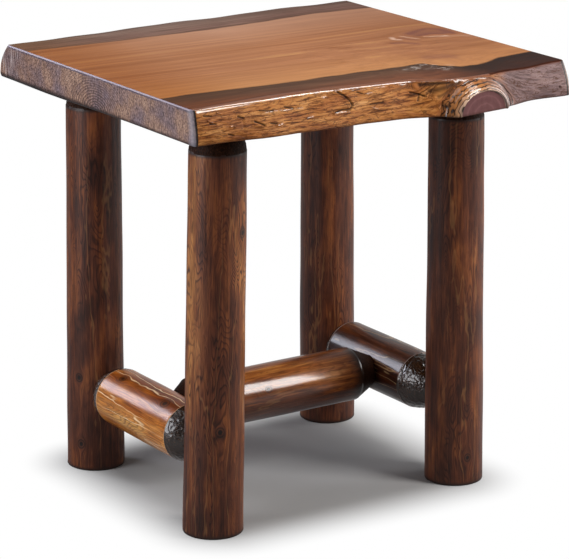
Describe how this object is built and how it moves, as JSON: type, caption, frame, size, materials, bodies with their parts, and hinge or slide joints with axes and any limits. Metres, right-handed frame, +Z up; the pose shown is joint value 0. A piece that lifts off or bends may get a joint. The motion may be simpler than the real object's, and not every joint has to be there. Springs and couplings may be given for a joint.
{
  "type": "live edge end table",
  "caption": "Rustic end table: a thick live edge slab with a sawn branch stub, on upright log legs that an H of log stretchers ties together with round tenons.",
  "frame": {"origin": "on the floor, under the middle of the table's outline", "axes": "+Z up; +X along the slab to its right end; -Y out of the front live edge, the one with the branch stub"},
  "size_m": [0.59, 0.6094, 0.61],
  "materials": {
    "slab_pine": "honey stained pine with darker live edges, satin lacquer",
    "leg_pine": "dark stained peeled pine log, satin lacquer",
    "stretcher_pine": "amber stained peeled pine log, satin lacquer"
  },
  "bodies": {
    "root": {"slab_top": "slab_pine", "front_left_leg": "leg_pine", "rear_left_leg": "leg_pine", "front_right_leg": "leg_pine", "rear_right_leg": "leg_pine", "left_stretcher": "stretcher_pine", "right_stretcher": "stretcher_pine", "centre_stretcher": "stretcher_pine"}
  },
  "joints": []
}
